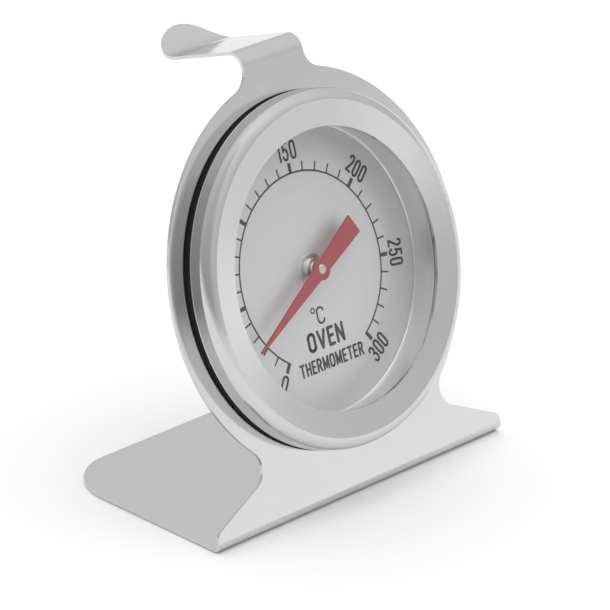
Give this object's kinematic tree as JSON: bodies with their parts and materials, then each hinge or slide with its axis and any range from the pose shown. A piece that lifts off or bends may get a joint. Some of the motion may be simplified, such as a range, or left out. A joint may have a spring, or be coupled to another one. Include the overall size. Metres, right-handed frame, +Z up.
{
  "type": "oven thermometer",
  "caption": "Round bimetal dial oven thermometer on a folded steel stand with a flat foot and a hook, its pointer turning behind glass.",
  "frame": {"origin": "middle of the foot's flat underside", "axes": "+Z up from the surface the foot rests on, +X across the front, -Y towards the viewer that the dial faces; the panel leans back 20 degrees"},
  "size_m": [0.06, 0.0426, 0.0623],
  "materials": {
    "brushed_sheet": "fine brushed, slightly glossy",
    "black_rubber": "matte black",
    "drawn_steel": "drawn, satin",
    "spring_steel": "stamped, satin",
    "bezel_steel": "turned brush lines, polished edge",
    "pane": "clear flat glass",
    "gasket": "matte dark grey",
    "spacer_steel": "satin inner wall",
    "dial": "satin silver grey with dark grey print",
    "bush": "turned and bright",
    "bracket": "stamped, satin",
    "washer": "stamped, satin",
    "nut": "turned",
    "rivet": "satin",
    "bimetal": "rolled strip, slightly warm",
    "cover_steel": "pressed, satin",
    "bearing": "turned",
    "red_paint": "satin red",
    "collar": "turned",
    "spindle_steel": "ground pin",
    "hub_brass": "turned"
  },
  "bodies": {
    "housing": {"stand": "brushed_sheet", "seal_ring": "black_rubber", "case_shell": "drawn_steel", "retaining_ring": "spring_steel", "bezel": "bezel_steel", "glass": "pane", "glass_gasket": "gasket", "spacer_ring": "spacer_steel", "dial_plate": "dial", "dial_bush": "bush", "coil_bracket": "bracket", "bush_washer": "washer", "bush_nut": "nut", "coil_rivet": "rivet", "bimetal_coil": "bimetal", "rear_cover": "cover_steel", "rear_bearing": "bearing"},
    "pointer_set": {"pointer": "red_paint", "pointer_collar": "collar", "spindle": "spindle_steel", "coil_hub": "hub_brass"}
  },
  "joints": [
    {"name": "pointer_turn", "type": "hinge", "parent": "housing", "child": "pointer_set", "pos_m": [0, -0.00508, 0.03139], "axis": [0, 0.9397, -0.342], "range_deg": [-26.16, 264.54], "stiffness_Nm_per_rad": 0.0002}
  ]
}
